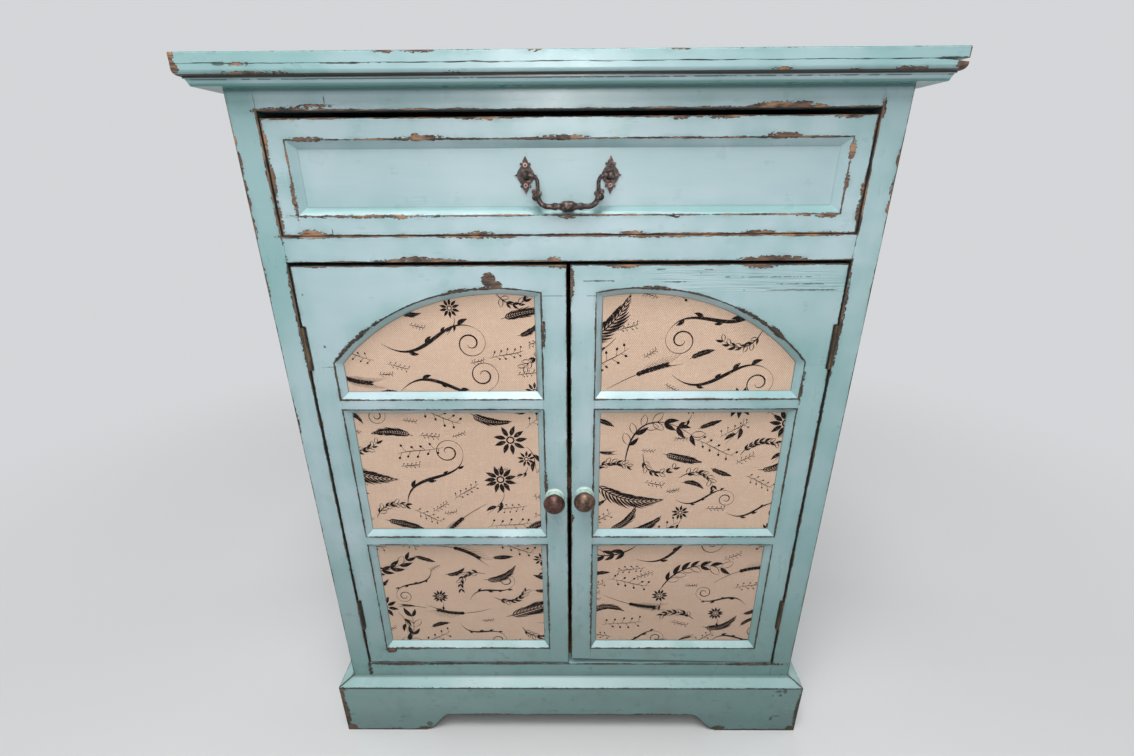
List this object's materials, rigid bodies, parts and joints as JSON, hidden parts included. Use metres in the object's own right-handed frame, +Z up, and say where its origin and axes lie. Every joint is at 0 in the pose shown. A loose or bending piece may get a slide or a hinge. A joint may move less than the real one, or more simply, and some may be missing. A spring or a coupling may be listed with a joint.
{
  "type": "accent cabinet",
  "caption": "Floor-standing painted wooden cabinet with a drawer over a pair of arched, fabric-panelled doors on a bracket plinth.",
  "frame": {"origin": "on the floor, under the middle of the top board", "axes": "+Z up, +X to the right when facing the doors, -Y out of the front"},
  "size_m": [0.703, 0.3564, 0.897],
  "materials": {
    "painted_wood": "turquoise paint, rubbed through at the edges",
    "bare_wood": "unpainted, stained brown",
    "hardboard": "plain sheet",
    "linen": "printed twill",
    "dark_bronze": "dark antique patina",
    "hinge_metal": "darkened",
    "plate_steel": "zinc plated",
    "catch_plastic": "dark brown"
  },
  "bodies": {
    "case": {"top_board": "painted_wood", "cornice_front": "painted_wood", "cornice_left": "painted_wood", "cornice_right": "painted_wood", "stile_left": "painted_wood", "stile_right": "painted_wood", "top_rail": "painted_wood", "middle_rail": "painted_wood", "bottom_rail": "painted_wood", "side_panel_left": "painted_wood", "side_panel_right": "painted_wood", "back_panel": "hardboard", "cabinet_floor": "bare_wood", "shelf": "bare_wood", "side_cleats": "bare_wood", "drawer_runners": "bare_wood", "drawer_kickers": "bare_wood", "plinth_front": "painted_wood", "plinth_left": "painted_wood", "plinth_right": "painted_wood", "plinth_blocks": "bare_wood", "case_hinge_leaves": "hinge_metal", "hinge_pins": "hinge_metal", "magnetic_catch": "catch_plastic"},
    "drawer": {"drawer_front": "painted_wood", "drawer_side_left": "bare_wood", "drawer_side_right": "bare_wood", "drawer_back": "bare_wood", "drawer_base": "hardboard", "pull_plate_left": "dark_bronze", "pull_plate_right": "dark_bronze", "pull_screws": "dark_bronze"},
    "bail": {"bail": "dark_bronze"},
    "left_door": {"left_door_top_rail": "painted_wood", "left_door_hinge_stile": "painted_wood", "left_door_lock_stile": "painted_wood", "left_door_upper_bar": "painted_wood", "left_door_lower_bar": "painted_wood", "left_door_bottom_rail": "painted_wood", "left_door_fabric": "linen", "left_door_backing": "hardboard", "left_door_panel_strips": "bare_wood", "left_door_hinge_leaves": "hinge_metal", "left_door_knob": "dark_bronze", "left_door_knob_base": "painted_wood", "left_door_catch_plate": "plate_steel"},
    "right_door": {"right_door_top_rail": "painted_wood", "right_door_hinge_stile": "painted_wood", "right_door_lock_stile": "painted_wood", "right_door_upper_bar": "painted_wood", "right_door_lower_bar": "painted_wood", "right_door_bottom_rail": "painted_wood", "right_door_fabric": "linen", "right_door_backing": "hardboard", "right_door_panel_strips": "bare_wood", "right_door_hinge_leaves": "hinge_metal", "right_door_knob": "dark_bronze", "right_door_knob_base": "painted_wood", "right_door_catch_plate": "plate_steel"}
  },
  "joints": [
    {"name": "drawer_slide", "type": "slide", "parent": "case", "child": "drawer", "axis": [0, -1, 0], "range_m": [0, 0.24]},
    {"name": "bail_swing", "type": "hinge", "parent": "drawer", "child": "bail", "pos_m": [0, -0.15575, 0.79395], "axis": [-1, 0, 0], "range_deg": [0, 160]},
    {"name": "left_door_swing", "type": "hinge", "parent": "case", "child": "left_door", "pos_m": [-0.29525, -0.15235, 0.4146], "axis": [0, 0, -1], "range_deg": [0, 170]},
    {"name": "right_door_swing", "type": "hinge", "parent": "case", "child": "right_door", "pos_m": [0.29525, -0.15235, 0.4146], "axis": [0, 0, 1], "range_deg": [0, 170]}
  ]
}
